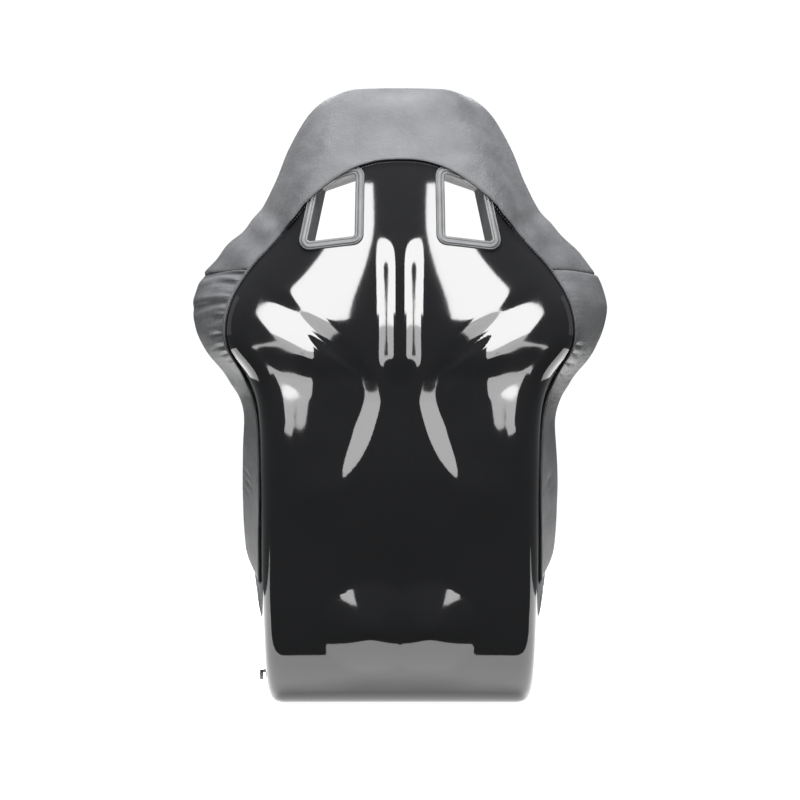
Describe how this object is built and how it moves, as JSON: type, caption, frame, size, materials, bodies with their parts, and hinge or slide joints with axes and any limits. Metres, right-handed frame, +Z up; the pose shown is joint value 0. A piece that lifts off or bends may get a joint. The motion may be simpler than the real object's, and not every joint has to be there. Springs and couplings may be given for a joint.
{
  "type": "racing bucket seat",
  "caption": "Fixed-back racing bucket seat: gloss fibreglass shell, foam pads, pulled-over leather-look cover with an elastic hem, harness openings and side mounts.",
  "frame": {"origin": "on the middle plane, halfway between the front and rear of the overall box, at the flat underside", "axes": "+X to the occupant's left, +Y to the rear (the occupant faces -Y), +Z up"},
  "size_m": [0.6028, 0.56, 0.8898],
  "materials": {
    "shell_gloss": "gloss",
    "cover_leather": "satin",
    "centre_fabric": "matte",
    "foam_yellow": "matte",
    "hem_elastic": "matte",
    "hook_and_loop": "matte",
    "bezel_grey": "satin",
    "bezel_black": "satin",
    "steel": "satin",
    "bolt_black": "satin"
  },
  "bodies": {
    "root": {"frp_shell": "shell_gloss", "mount_plate_left": "steel", "mount_plate_right": "steel", "mount_insert_front_left": "steel", "mount_insert_rear_left": "steel", "mount_insert_front_right": "steel", "mount_insert_rear_right": "steel", "mount_bolt_rear_left": "bolt_black", "mount_washer_rear_left": "steel", "shoulder_bezel_rear_left": "bezel_grey", "shoulder_bezel_rear_right": "bezel_grey", "shoulder_bezel_front_left": "bezel_black", "shoulder_bezel_front_right": "bezel_black", "crotch_slot_bezel": "bezel_black", "backrest_foam": "foam_yellow", "headrest_foam": "foam_yellow", "shoulder_wing_foam_left": "foam_yellow", "shoulder_wing_foam_right": "foam_yellow", "torso_bolster_foam_left": "foam_yellow", "torso_bolster_foam_right": "foam_yellow", "backrest_cover": "centre_fabric", "head_cover_front": "cover_leather", "head_cover_rear": "cover_leather", "wing_cover_left": "cover_leather", "wing_cover_right": "cover_leather", "cover_hem": "hem_elastic", "seat_cushion_foam": "foam_yellow", "seat_cushion_cover": "centre_fabric", "cushion_hook_and_loop": "hook_and_loop", "thigh_bolster_foam_left": "foam_yellow", "thigh_bolster_foam_right": "foam_yellow", "thigh_bolster_cover_left": "centre_fabric", "thigh_bolster_cover_right": "centre_fabric"}
  },
  "joints": []
}
